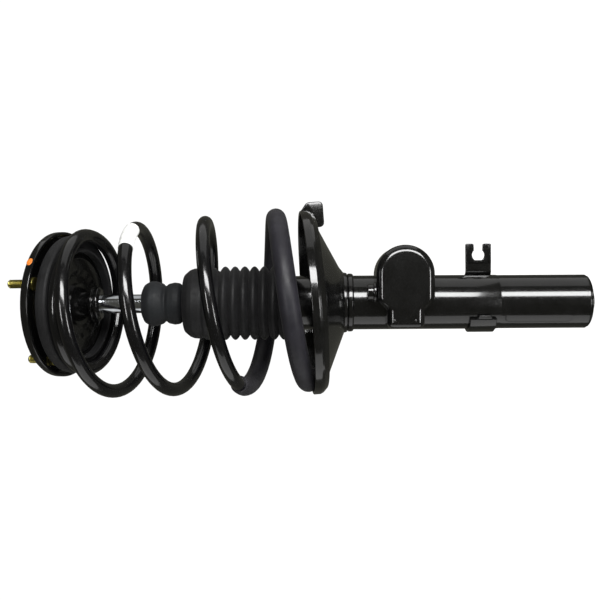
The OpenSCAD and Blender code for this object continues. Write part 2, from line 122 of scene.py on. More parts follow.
class StrutSizes(bpy.types.PropertyGroup):
    """Sizes of the strut's tube, seats and brackets, in millimetres."""
    tube_r: length("Tube radius", "Radius of the strut tube above its clamp land", 25.8)
    clamp_r: length("Clamp radius", "Radius of the clamp land", MOUNTS["knuckle_clamp"]["dims"]["r_mm"])
    tube_wall: length("Tube wall", "Wall of the strut tube", 2.5)
    seat_z: length("Seat height", "Height of the lower seat's lip on the tube's axis", 266.8)
    seat_r: length("Seat radius", "Radius of the lower seat's lip", 88)
    seat_depth: length("Seat depth", "Depth of the lower seat inside its lip", 11.5)
    seat_sheet: length("Seat sheet", "Thickness of the lower seat's sheet", 2.5)
    link_z: length("Link bracket height", "Height of the link bracket's middle", 175.5)
    link_w: length("Link bracket width", "Width of the link bracket along the tube", 53.5)
    link_face: length("Link bracket face", "Distance from the tube's axis to the bracket's face", 47)
    hose_w: length("Hose bracket width", "Width of the hose bracket along the tube", 24.5)
    hose_hole_r: length("Keyhole radius", "Radius of the hose bracket's keyhole",
                        MOUNTS["hose_slot"]["dims"]["r_mm"])


class SpringSizes(bpy.types.PropertyGroup):
    """Sizes of the coil spring and what it carries, in millimetres."""
    wire_r: length("Wire radius", "Radius of the spring wire", 6.5)
    sleeve_r: length("Sleeve radius", "Radius of the rubber sleeve on the lowest coil", 9.3)
    coil_r: length("Coil radius", "Largest radius of the coils", 79.3)
    coil_taper: length("Taper", "How much smaller the uppermost free coil is", 5.5)
    pitch: length("Pitch", "Greatest pitch of the coils", 67.9)
    top_coil_r: length("Top coil radius", "Radius of the closed top coil", 62.5)
    lean_x: length("Lean X", "Lean of the spring towards -X over its height", 12.4)
    lean_y: length("Lean Y", "Lean of the spring towards -Y over its height", 5.9)
    sides: IntProperty(name="Sides", description="Sides of the wire's section", default=28, min=12, max=64)


class BootSizes(bpy.types.PropertyGroup):
    """Sizes of the bump stop and the dust boot, in millimetres."""
    bump_r: length("Bump stop radius", "Radius of the bump stop's upper lobe", 21.5)
    bump_len: length("Bump stop length", "Length of the bump stop", 58)
    boot_r: length("Boot radius", "Radius of the boot's folds", 35.3)
    boot_wall: length("Boot wall", "Wall of the boot", 1.6)
    folds: IntProperty(name="Folds", description="Number of folds in the boot", default=7, min=3, max=12)


class StrutFinishes(bpy.types.PropertyGroup):
    """Colours of the strut's paints, platings and rubbers."""
    paint: colour("Paint", "Black dip primer under its gloss", "#070707")
    coating: colour("Spring coating", "Baked epoxy on the wire", "#060607")
    rubber: colour("Rubber", "Moulded natural rubber", "#111112")
    sleeve: colour("Sleeve rubber", "Extruded rubber of the sleeve", "#1A191E")
    foam: colour("Foam", "Microcellular polyurethane", "#121416")
    yellow: colour("Yellow zinc", "Yellow chromate on zinc", "#B9AE62")
    zinc: colour("Clear zinc", "Clear chromate on zinc", "#B4B8BC")
    steel: colour("Ground steel", "Ground bearing steel", "#A6A9AE")
    nylon: colour("Nylon", "Moulded natural nylon", "#A79E86")
    label: colour("Label", "Coated paper", "#E9EAE8")
    marker: colour("Marker", "Orange paint dab", "#D87A2C")


# ---------------------------------------------------------------- materials

def add(tree, kind, links=(), **settings):
    """Adds a node of one kind, sets its values and links (input name, output socket) pairs to it."""
    node = tree.nodes.new(kind)
    for key, value in settings.items():
        if key[0].isupper():
            node.inputs[key.replace("_", " ")].default_value = value
        else:
            setattr(node, key, value)
    for name, source in links:
        tree.links.new(source, node.inputs[name])
    return node


def mottle(tree, size_mm, detail=4.0, distortion=0.0):
    """Noise whose features are about size_mm across, in the frame's own metres."""
    place = add(tree, "ShaderNodeTexCoord").outputs["Object"]
    return add(tree, "ShaderNodeTexNoise", [("Vector", place)], Scale=1 / (size_mm * MM), Detail=detail,
               Distortion=distortion).outputs["Fac"]


def spread(tree, value, low, high, start=0.3, stop=0.7):
    """Maps a noise value onto the range low to high."""
    return add(tree, "ShaderNodeMapRange", [("Value", value)], From_Min=start, From_Max=stop, To_Min=low,
               To_Max=high).outputs["Result"]


def tint(tree, value, dark, light):
    """Colour between two colours by a noise value."""
    node = add(tree, "ShaderNodeMix", data_type="RGBA")
    tree.links.new(value, node.inputs[0])
    node.inputs[6].default_value = dark
    node.inputs[7].default_value = light
    return node.outputs[2]


def shade(code, factor):
    """The same colour, darker or lighter."""
    return [min(c * factor, 1.0) for c in code[:3]] + [1.0]


def finish_material(name, base, rough, relief, constants):
    """A principled material from a colour, a roughness and a (height, distance in mm, strength) relief."""
    material = bpy.data.materials[name]
    tree = material.node_tree
    shader = tree.nodes["Principled BSDF"]
    tree.links.new(base, shader.inputs["Base Color"])
    tree.links.new(rough, shader.inputs["Roughness"])
    height, distance, strength = relief
    bump = add(tree, "ShaderNodeBump", [("Height", height)], Distance=distance * MM, Strength=strength)
    tree.links.new(bump.outputs["Normal"], shader.inputs["Normal"])
    for key, value in constants.items():
        shader.inputs[key].default_value = value
    return material


def blank(name):
    """A new node material and its tree."""
    material = bpy.data.materials.new(name)
    material.use_nodes = True
    return material.node_tree


def electrocoat_black(colours):
    """Dip paint with a gloss top coat on pressed steel: deep black, mirror-like, with faint orange peel."""
    tree = blank("gloss_black_electrocoat")
    film = mottle(tree, 14, 3)
    dust = mottle(tree, 1.3, 6)
    base = tint(tree, spread(tree, film, 0, 1), shade(colours.paint, 0.7), shade(colours.paint, 1.6))
    rough = spread(tree, dust, 0.10, 0.24)
    peel = mottle(tree, 3.2, 1)
    return finish_material("gloss_black_electrocoat", base, rough, (peel, 0.006, 0.35),
                           {"Specular IOR Level": 0.5, "Coat Weight": 0.6, "Coat Roughness": 0.06})


def baked_epoxy_wire(colours):
    """Baked epoxy powder on hot-coiled wire: glossy black with a slightly wavier film than dipped paint."""
    tree = blank("baked_epoxy_wire_coating")
    film = mottle(tree, 25, 2)
    base = tint(tree, spread(tree, film, 0, 1), shade(colours.coating, 0.8), shade(colours.coating, 1.5))
    rough = spread(tree, mottle(tree, 2.0, 5), 0.12, 0.26)
    return finish_material("baked_epoxy_wire_coating", base, rough, (mottle(tree, 4.5, 2), 0.012, 0.4),
                           {"Coat Weight": 0.5, "Coat Roughness": 0.08})


def moulded_rubber(name, base_colour, rough_low, rough_high, grain_mm):
    """Compression-moulded rubber: matte charcoal with a pale bloom and the mould's fine grain."""
    tree = blank(name)
    bloom = mottle(tree, 18, 5, 0.4)
    base = tint(tree, spread(tree, bloom, 0, 1), shade(base_colour, 0.75), shade(base_colour, 1.35))
    rough = spread(tree, mottle(tree, 5, 4), rough_low, rough_high)
    return finish_material(name, base, rough, (mottle(tree, grain_mm, 3), 0.08, 0.35),
                           {"Specular IOR Level": 0.3, "Sheen Weight": 0.03, "Sheen Roughness": 0.5})


def plated_steel(name, base_colour, rough_low, rough_high):
    """Zinc-plated steel with a chromate film: soft metallic grey or gold with patches of thicker film."""
    tree = blank(name)
    film = mottle(tree, 3, 5, 0.6)
    base = tint(tree, spread(tree, film, 0, 1), shade(base_colour, 0.7), shade(base_colour, 1.15))
    rough = spread(tree, mottle(tree, 1.2, 4), rough_low, rough_high)
    return finish_material(name, base, rough, (mottle(tree, 0.6, 2), 0.02, 0.3), {"Metallic": 1.0})


def hard_chrome(colours):
    """Hard chrome, ground and polished round the rod: a bright mirror with hairline grinding marks."""
    tree = blank("polished_hard_chrome")
    place = add(tree, "ShaderNodeTexCoord").outputs["Object"]
    rings = add(tree, "ShaderNodeMapping", [("Vector", place)], Scale=(120, 120, 4000)).outputs["Vector"]
    marks = add(tree, "ShaderNodeTexNoise", [("Vector", rings)], Scale=1.0, Detail=2.0).outputs["Fac"]
    base = tint(tree, spread(tree, marks, 0, 1), linear("#B9BCC2"), linear("#D4D7DB"))
    rough = spread(tree, marks, 0.05, 0.14)
    return finish_material("polished_hard_chrome", base, rough, (marks, 0.004, 0.2), {"Metallic": 1.0})


def coated_label(colours):
    """Coated paper wrapped round the wire: matt white, with faint creases and a grubby edge."""
    tree = blank("coated_paper_label")
    grime = mottle(tree, 5, 5)
    base = tint(tree, spread(tree, grime, 0, 1), shade(colours.label, 0.82), list(colours.label))
    rough = spread(tree, grime, 0.5, 0.7)
    return finish_material("coated_paper_label", base, rough, (mottle(tree, 2.5, 3), 0.1, 0.4), {})


def marker_paint(colours):
    """Orange inspection paint dabbed on by brush: thick, satin and uneven."""
    tree = blank("orange_marker_paint")
    stroke = mottle(tree, 1.5, 4, 0.8)
    base = tint(tree, spread(tree, stroke, 0, 1), shade(colours.marker, 0.7), list(colours.marker))
    return finish_material("orange_marker_paint", base, spread(tree, stroke, 0.35, 0.55),
                           (stroke, 0.2, 0.6), {})


def moulded_nylon(colours):
    """Injection-moulded nylon: waxy off-white with a satin surface."""
    tree = blank("moulded_nylon")
    flow = mottle(tree, 9, 3)
    base = tint(tree, spread(tree, flow, 0, 1), shade(colours.nylon, 0.85), list(colours.nylon))
    rough = spread(tree, flow, 0.35, 0.5)
    return finish_material("moulded_nylon", base, rough, (mottle(tree, 0.8, 2), 0.03, 0.3),
                           {"Subsurface Weight": 0.05})


def materials():
    """Every finish by the record's slot name, made once."""
    if "gloss_black_electrocoat" not in bpy.data.materials:
        colours = bpy.context.scene.strut_finishes
        electrocoat_black(colours)
        baked_epoxy_wire(colours)
        moulded_rubber("moulded_natural_rubber", colours.rubber, 0.48, 0.68, 0.5)
        moulded_rubber("extruded_sleeve_rubber", colours.sleeve, 0.38, 0.52, 0.7)
        moulded_rubber("microcellular_foam", colours.foam, 0.55, 0.75, 0.9)
        plated_steel("yellow_zinc_plate", colours.yellow, 0.28, 0.42)
        plated_steel("clear_zinc_plate", colours.zinc, 0.25, 0.4)
        plated_steel("ground_bearing_steel", colours.steel, 0.12, 0.25)
        hard_chrome(colours)
        coated_label(colours)
        marker_paint(colours)
        moulded_nylon(colours)
    names = {
        "gloss_black": "gloss_black_electrocoat", "spring_coating": "baked_epoxy_wire_coating",
        "moulded_rubber": "moulded_natural_rubber", "sleeve": "extruded_sleeve_rubber",
        "foam_rubber": "microcellular_foam", "seal_rubber": "moulded_natural_rubber",
        "yellow_zinc": "yellow_zinc_plate", "zinc_steel": "clear_zinc_plate",
        "bright_steel": "ground_bearing_steel", "chromed_rod": "polished_hard_chrome",
        "paper_tag": "coated_paper_label", "marker": "orange_marker_paint", "band_plastic": "moulded_nylon"}
    return {slot: bpy.data.materials[name] for slot, name in names.items()}


# ---------------------------------------------------------------- mesh tools, all in millimetres

def make_piece(name, verts, faces, slot, finish=None, smooth=38, matrix=None):
    """A closed mesh object with smooth faces, sharp only where its faces meet steeply."""
    mesh = bpy.data.meshes.new(name)
    matrix = matrix or Matrix.Identity(4)
    mesh.from_pydata([(matrix @ Vector(v)) * MM for v in verts], [], faces)
    bm = bmesh.new()
    bm.from_mesh(mesh)
    bmesh.ops.recalc_face_normals(bm, faces=bm.faces)
    bm.to_mesh(mesh)
    bm.free()
    mesh.polygons.foreach_set("use_smooth", [True] * len(mesh.polygons))
    mesh.set_sharp_from_angle(angle=math.radians(smooth))
    mesh.materials.append(materials()[finish or slot])
    piece = bpy.data.objects.new(name, mesh)
    bpy.context.scene.collection.objects.link(piece)
    return piece


def rounded(corners, steps=6):
    """Closed outline whose corners (x, y, radius) are rounded off."""
    outline = []
    count = len(corners)
    for i, (x, y, radius) in enumerate(corners):
        here = Vector((x, y))
        back = Vector(corners[i - 1][:2]) - here
        ahead = Vector(corners[(i + 1) % count][:2]) - here
        if radius <= 0:
            outline.append((x, y))
            continue
        half = back.angle(ahead) / 2
        reach = min(radius / math.tan(half), 0.49 * back.length, 0.49 * ahead.length)
        start = here + back.normalized() * reach
        stop = here + ahead.normalized() * reach
        for k in range(steps + 1):
            s = k / steps
            point = start * (1 - s) ** 2 + here * 2 * s * (1 - s) + stop * s ** 2
            outline.append((point.x, point.y))
    return outline


def lathe(profile, segments=128, warp=None):
    """Vertices and faces of a (radius, height) outline turned round Z; warp shifts a point's radius."""
    verts, faces = [], []
    count = len(profile)
    for j in range(segments):
        angle = 2 * math.pi * j / segments
        for radius, height in profile:
            r = radius + (warp(radius, height, angle) if warp else 0)
            verts.append((r * math.cos(angle), r * math.sin(angle), height))
    for j in range(segments):
        a, b = j * count, (j + 1) % segments * count
        for i in range(count):
            k = (i + 1) % count
            faces.append((a + i, b + i, b + k, a + k))
    return verts, faces


def ring_frames(points):
    """For each point of a path: the point, its direction and two directions across it."""
    frames = []
    last = len(points) - 1
    for i, point in enumerate(points):
        ahead = (points[min(i + 1, last)] - points[max(i - 1, 0)]).normalized()
        across = Vector((0, 0, 1)).cross(ahead).normalized()
        frames.append((point, ahead, across, ahead.cross(across)))
    return frames


def loft(rings, closed=False, caps=True):
    """Vertices and faces of a skin over rings of equal length."""
    count = len(rings[0])
    verts = [v for ring in rings for v in ring]
    faces = []
    for i in range(len(rings) if closed else len(rings) - 1):
        a, b = i * count, (i + 1) % len(rings) * count
        for k in range(count):
            j = (k + 1) % count
            faces.append((a + k, b + k, b + j, a + j))
    if caps and not closed:
        faces.append(tuple(range(count))[::-1])
        faces.append(tuple((len(rings) - 1) * count + k for k in range(count)))
    return verts, faces


def circle_ring(frame_at, radius, sides, shift=0.0):
    """A ring of points round a path point."""
    point, ahead, across, up = frame_at
    centre = point + ahead * shift
    return [tuple(centre + (across * math.cos(a) + up * math.sin(a)) * radius)
            for a in (2 * math.pi * k / sides for k in range(sides))]


def join(*parts):
    """One list of vertices and faces from several."""
    verts, faces = [], []
    for more_verts, more_faces in parts:
        start = len(verts)
        verts += more_verts
        faces += [tuple(start + i for i in face) for face in more_faces]
    return verts, faces


def moved(part, matrix):
    """The same part in another place."""
    return [tuple(matrix @ Vector(v)) for v in part[0]], part[1]


def plate(outline, low, high, edge=0.6, steps=3):
    """A flat outline thickened from low to high along Z, with rounded edges."""
    middle = [Vector(p) for p in outline]
    count = len(middle)
    turn = sum(middle[i - 1].x * middle[i].y - middle[i].x * middle[i - 1].y for i in range(count))
    side = 1 if turn > 0 else -1
    inward = []
    for i in range(count):
        along = (middle[(i + 1) % count] - middle[i - 1]).normalized()
        inward.append(Vector((-along.y, along.x)) * side)
    rings = []
    for level, sign in ((low, 1), (high, -1)):
        arc = []
        for k in range(steps + 1):
            angle = math.pi / 2 * k / steps
            inset = edge * (1 - math.sin(angle))
            height = level + sign * edge * (1 - math.cos(angle))
            arc.append([(p.x + n.x * inset, p.y + n.y * inset, height) for p, n in zip(middle, inward)])
        rings += arc if sign == 1 else arc[::-1]
    return loft(rings)


def dome(x, y, z, radius, rise, sides=20):
    """A small round bump whose open side is closed by a flat ring."""
    rings = []
    for k in range(5):
        angle = math.pi / 2 * k / 4.4
        r = radius * math.cos(angle)
        rings.append([(x + r * math.cos(a), y + r * math.sin(a), z + rise * math.sin(angle))
                      for a in (2 * math.pi * i / sides for i in range(sides))])
    return loft(rings)


def weigh(piece, start, stop):
    """Bakes a piece's placement into its mesh."""
    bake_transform(piece)


def clamp(value):
    """value held between 0 and 1."""
    return min(max(value, 0.0), 1.0)


# ---------------------------------------------------------------- the spring's centre line

TURNS = 3.55
TOP_TURN = -0.85
SLEEVE_TURN = 2.45
TAG_TURN = 1.05
TAG_LENGTH = 0.075
PITCH_PEAK = 2.1
PITCH_SPREAD = 2.9
TILT_TOP, TILT_LOW = 13.6, 0.8
UP_TOP, UP_LOW = 2.7, 1.0
TOP_BLEND = 0.3
COIL_DEPTH = 30.3
SEAT_TILT_X = math.radians(4.1)
SEAT_TILT_Y = math.radians(3.4)
FREE_TURNS = 3.0
COIL_OFFSET_X = 3.6
TOP_COIL_GROWTH = 5.8
TOP_COIL_START = 0.25
SEAT_GAP = 0.2


def wire_at(t):
    """Centre of the wire after t turns, counted down from +X at the top of the first free coil."""
    sizes = bpy.context.scene.spring_sizes
    share = t / TURNS
    radius = sizes.coil_r - sizes.coil_taper * (1 - share) ** 3
    angle = 2 * math.pi * t
    x = radius * math.cos(angle) + COIL_OFFSET_X - sizes.lean_x * (1 - share)
    y = -radius * math.sin(angle) - sizes.lean_y * (1 - share)
    if t >= 0:
        return Vector((x, y, free_height(t)))
    ease = clamp(-t / TOP_BLEND)
    ease = ease * ease * (3 - 2 * ease)
    flat_radius = sizes.top_coil_r + TOP_COIL_GROWTH * (t + TOP_COIL_START)
    flat_y = -flat_radius * math.sin(angle) * math.cos(MOUNT_TILT) - COIL_DEPTH * math.sin(MOUNT_TILT)
    x += (flat_radius * math.cos(angle) - x) * ease
    y += (flat_y - y) * ease
    start = wire_at(0)
    return Vector((x, y, start.z - (y - start.y) * math.tan(MOUNT_TILT)))


def free_height(t):
    """Height of the wire in a free coil; its end rests on the lower seat's floor."""
    strut = bpy.context.scene.strut_sizes
    sizes = bpy.context.scene.spring_sizes

    def fall(turn):
        swing = ((turn - PITCH_PEAK) ** 3 + PITCH_PEAK ** 3) / (3 * PITCH_SPREAD ** 2)
        return sizes.pitch * (turn - swing)

    def tilt(turn):
        share = turn / TURNS
        radius = sizes.coil_r - sizes.coil_taper * (1 - share) ** 3
        near = math.tan(math.radians(TILT_TOP)) * (1 - share) + math.tan(math.radians(TILT_LOW)) * share
        up = math.tan(math.radians(UP_TOP)) * (1 - share) + math.tan(math.radians(UP_LOW)) * share
        return radius * (math.sin(2 * math.pi * turn) * near + math.cos(2 * math.pi * turn) * up)

    end_x = sizes.coil_r * math.cos(2 * math.pi * TURNS) + COIL_OFFSET_X
    end_y = -sizes.coil_r * math.sin(2 * math.pi * TURNS)
    floor = strut.seat_z - strut.seat_depth + end_x * math.tan(SEAT_TILT_X) + end_y * math.tan(SEAT_TILT_Y)
    return floor + sizes.sleeve_r + SEAT_GAP + fall(TURNS) - tilt(TURNS) - fall(t) + tilt(t)


def wire_stations(start, stop, per_turn=90):
    """Evenly spaced turns from start to stop."""
    count = max(2, round((stop - start) * per_turn))
    return [start + (stop - start) * i / count for i in range(count + 1)]


def spring_piece(name, rings, slot, finish, closed=False):
    """A piece along the wire, skinned over its rings."""
    verts, faces = loft(rings, closed=closed, caps=not closed)
    piece = make_piece(name, verts, faces, slot, finish)
    weigh(piece, wire_at(FREE_TURNS) * MM, wire_at(0) * MM)
    return piece


# ---------------------------------------------------------------- pieces

class STRUT_OT_stage(bpy.types.Operator):
    """Pale floor, soft studio light and the camera"""
    bl_idname = "strut.stage"
    bl_label = "Stage"

    def execute(self, context):
        make_floor()
        make_world(context.scene)
        for name, place, target, size, power in LIGHTS:
            make_light(name, place, target, size, power)
        make_camera(context.scene)
        return {"FINISHED"}


# Each light: name, place, target, size in X and Y, and power in watts
LIGHTS = (
    ("key_softbox", (0.64, -1.02, 0.06), (0.0, 0.0, 0.06), (1.1, 0.40), 20),
    ("upper_strip", (0.0, -1.1, 0.92), (0.0, 0.0, 0.40), (0.12, 0.5), 3),
    ("lower_strip", (-0.05, -0.95, -0.75), (0.0, 0.0, 0.30), (0.16, 0.5), 4),
    ("overhead", (1.2, 0.1, 0.3), (0.0, 0.0, 0.25), (1.6, 1.2), 3.2),
    ("under_card", (-0.9, -0.1, 0.25), (0.0, 0.0, 0.25), (1.4, 0.7), 2.5),
)


def make_light(name, place, target, size, power):
    """An area light whose long side lies along the strut."""
    data = bpy.data.lights.new(name, "AREA")
    data.shape = "RECTANGLE"
    data.size, data.size_y = size
    data.energy = power
    light = bpy.data.objects.new(name, data)
    back = (Vector(place) - Vector(target)).normalized()
    along = (Vector((0, 0, 1)) - back * back.z).normalized()
    across = back.cross(along)
    light.matrix_world = Matrix.Translation(place) @ Matrix((along, across, back)).transposed().to_4x4()
    light.visible_camera = False
    bpy.context.scene.collection.objects.link(light)


def make_world(scene):
    """Dim grey surroundings for reflections, and a white backdrop behind the part."""
    world = bpy.data.worlds.new("studio")
    world.use_nodes = True
    tree = world.node_tree
    tree.nodes.clear()
    room = add(tree, "ShaderNodeBackground", Color=(0.66, 0.65, 0.55, 1), Strength=0.12)
    backdrop = add(tree, "ShaderNodeBackground", Color=(1, 1, 1, 1), Strength=1.05)
    seen = add(tree, "ShaderNodeLightPath").outputs["Is Camera Ray"]
    mix = add(tree, "ShaderNodeMixShader", [(0, seen), (1, room.outputs[0]), (2, backdrop.outputs[0])])
    add(tree, "ShaderNodeOutputWorld", [("Surface", mix.outputs[0])])
    scene.world = world
    scene.view_settings.view_transform = "Standard"


FLOOR_SIZE = 6.0
FLOOR_GAP = 0.002


def make_floor():
    """A pale matt floor just under the strut's lower end."""
    half = FLOOR_SIZE / 2
    level = CAD_BOX[0].z - FLOOR_GAP
    mesh = bpy.data.meshes.new("floor")
    corners = [(-half, -half, level), (half, -half, level), (half, half, level), (-half, half, level)]
    mesh.from_pydata(corners, [], [(0, 1, 2, 3)])
    tree = blank("pale_matt_floor")
    base = tint(tree, mottle(tree, 400, 2), linear("#F4F4F4"), linear("#FAFAFA"))
    finish_material("pale_matt_floor", base, spread(tree, mottle(tree, 30, 3), 0.8, 0.95),
                    (mottle(tree, 2, 2), 0.05, 0.1),
                    {"Specular IOR Level": 0.1, "Emission Color": (1, 1, 1, 1), "Emission Strength": 1.0})
    mesh.materials.append(bpy.data.materials["pale_matt_floor"])
    floor = bpy.data.objects.new("floor", mesh)
    bpy.context.scene.collection.objects.link(floor)
    floor.visible_glossy = False
    floor.visible_shadow = False


CAMERA_DISTANCE = 0.864
CAMERA_AIM = Vector((0.0027, 0, 0.2726))
CAMERA_LIFT = math.radians(0.62)
CAMERA_ROLL = math.radians(-0.35)


def make_camera(scene):
    """A camera at -Y whose picture has +X at the top and +Z at the left."""
    data = bpy.data.cameras.new("camera")
    data.lens = 54
    data.sensor_width = 36
    camera = bpy.data.objects.new("camera", data)
    forward = Vector((0, math.cos(CAMERA_LIFT), math.sin(CAMERA_LIFT)))
    right = Vector((0, math.sin(CAMERA_LIFT), -math.cos(CAMERA_LIFT)))
    up = right.cross(forward)
    turn = Matrix((right, up, -forward)).transposed().to_4x4()
    place = CAMERA_AIM - forward * CAMERA_DISTANCE
    camera.matrix_world = Matrix.Translation(place) @ turn @ Matrix.Rotation(CAMERA_ROLL, 4, "Z")
    scene.collection.objects.link(camera)
    scene.camera = camera


class STRUT_OT_tube(bpy.types.Operator):
    """Strut tube with its clamp land and pressed panel, and the domed base cap"""
    bl_idname = "strut.tube"
    bl_label = "Tube and base cap"

    panel_angle = math.radians(-117.5)
    panel_low, panel_high, panel_half, panel_depth = 18, 80, 9.25, 0.45

    def dent(self, radius, height, angle):
        """Inward shift of the outer wall inside the pressed panel."""
        if radius < bpy.context.scene.strut_sizes.clamp_r - 0.3:
            return 0
        across = abs((angle - self.panel_angle + math.pi) % (2 * math.pi) - math.pi) * radius
        corner = 5
        dx = max(across - self.panel_half + corner, 0)
        dz = max(self.panel_low + corner - height, height - self.panel_high + corner, 0)
        inside = corner - math.hypot(dx, dz)
        return -self.panel_depth * clamp(inside / 1.2 + 0.5)

    def execute(self, context):
        sizes = context.scene.strut_sizes
        top = high_of("strut_tube").z
        clamp_len = MOUNTS["knuckle_clamp"]["dims"]["length_mm"]
        outer, land = sizes.tube_r, sizes.clamp_r
        inner = outer - sizes.tube_wall
        heights = [1.2 + (clamp_len - 1.4) * i / 120 for i in range(121)]
        profile = [(inner, 0.3), (land - 1.0, 0.3)] + [(land, h) for h in heights]
        profile += [(outer, clamp_len + 0.6), (outer, top - 1), (outer - 0.5, top), (inner, top)]
        verts, faces = lathe(profile, 288, self.dent)
        tube = make_piece("strut_tube_shell", verts, faces, "gloss_black", smooth=60)
        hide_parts("strut_tube")
        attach(tube, STRUT)
        drop = -low_of("base_cap").z
        cap = [(0.02, 3.5, 0), (inner - 0.1, 3.5, 0), (inner - 0.1, 0.2, 0), (land - 0.9, 0.2, 0.2),
               (land - 1.0, -0.6, 0.5), (land - 2.4, -1.6, 0.8), (14.2, 2.4 - drop, 1.2),
               (12.2, 0.5 - drop, 1.5), (7, -drop, 2), (0.02, -drop, 0)]
        verts, faces = lathe(rounded(cap), 128)
        cap = make_piece("domed_base_cap", verts, faces, "gloss_black")
        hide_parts("base_cap")
        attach(cap, STRUT)
        return {"FINISHED"}


class STRUT_OT_lower_seat(bpy.types.Operator):
    """Inclined lower spring seat with its rolled lip, cone, neck and stop tab, and the collar below it"""
    bl_idname = "strut.lower_seat"
    bl_label = "Lower seat"

    def execute(self, context):
        sizes = context.scene.strut_sizes
        r, depth, sheet = sizes.seat_r, sizes.seat_depth, sizes.seat_sheet
        tube_r = sizes.tube_r
        place = Matrix.Translation((0, 0, sizes.seat_z)) @ Matrix.Rotation(SEAT_TILT_Y, 4, "X") \
            @ Matrix.Rotation(-SEAT_TILT_X, 4, "Y")
        dish = [(r, 0, 1.1), (r - sheet, 0, 1.1), (r - sheet, 0.2 - depth, 2.6), (68, -depth, 4),
                (48, 9.6 - 31.5, 8), (31, 2.5 - 33, 3), (tube_r + 0.6, 2.5 - 37, 0),
                (tube_r + 0.6, -37.5, 0), (32, -33.6, 4), (49, -25.6, 8), (74, -depth - sheet, 5),
                (r - 6, -depth - sheet, 4), (r - 1.2, -9.2, 2.2), (r, -6.5, 1.5)]
        pan = moved(lathe(rounded(dish, 8), 192), place)
        neck_low = sizes.seat_z - 39
        throat = [(tube_r + 0.1, neck_low, 0.3), (tube_r + 2.4, neck_low, 1.0),
                  (tube_r + 3.0, neck_low + 2.5, 1), (tube_r + 3.0, neck_low + 8.5, 1.5),
                  (tube_r + 1.2, neck_low + 10.5, 0), (tube_r + 0.1, neck_low + 10.5, 0)]
        neck = lathe(rounded(throat), 128)
        tab = [(r - 1.4, -0.4, 1), (r + 6.8, -6.8, 3), (r + 8, -9.5, 2), (r + 8, -23.3, 4.5),
               (r - 16.5, -23.3, 5), (r - 16.5, -13.4, 1.5), (r - 3.6, -13.4, 0), (r - 1.4, -10, 0)]
        stand = place @ Matrix.Rotation(math.pi / 2, 4, "X")
        blade = moved(plate(rounded(tab, 6), -1.7, 1.7, 0.9), stand)
        flange = [(r + 8, -19.5, 1), (r + 8, -10, 1), (r + 5, -9, 1), (r + 5, -19.5, 1)]
        wing = moved(plate(rounded(flange, 4), -5.8, -1.6, 0.8), stand)
        verts, faces = join(pan, neck, blade, wing)
        seat = make_piece("lower_seat_pressing", verts, faces, "gloss_black", smooth=50)
        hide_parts("lower_spring_seat")
        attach(seat, STRUT)
        low = low_of("seat_collar").z
        band = [(tube_r + 0.1, low, 0), (tube_r + 1.1, low, 0.5), (tube_r + 2.0, low + 1.4, 1),
                (tube_r + 2.0, low + 4.4, 1), (tube_r + 1.1, low + 5.6, 0.6), (tube_r + 0.1, low + 5.6, 0)]
        verts, faces = lathe(rounded(band), 128)
        collar = make_piece("weld_collar", verts, faces, "gloss_black")
        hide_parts("seat_collar")
        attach(collar, STRUT)
        return {"FINISHED"}


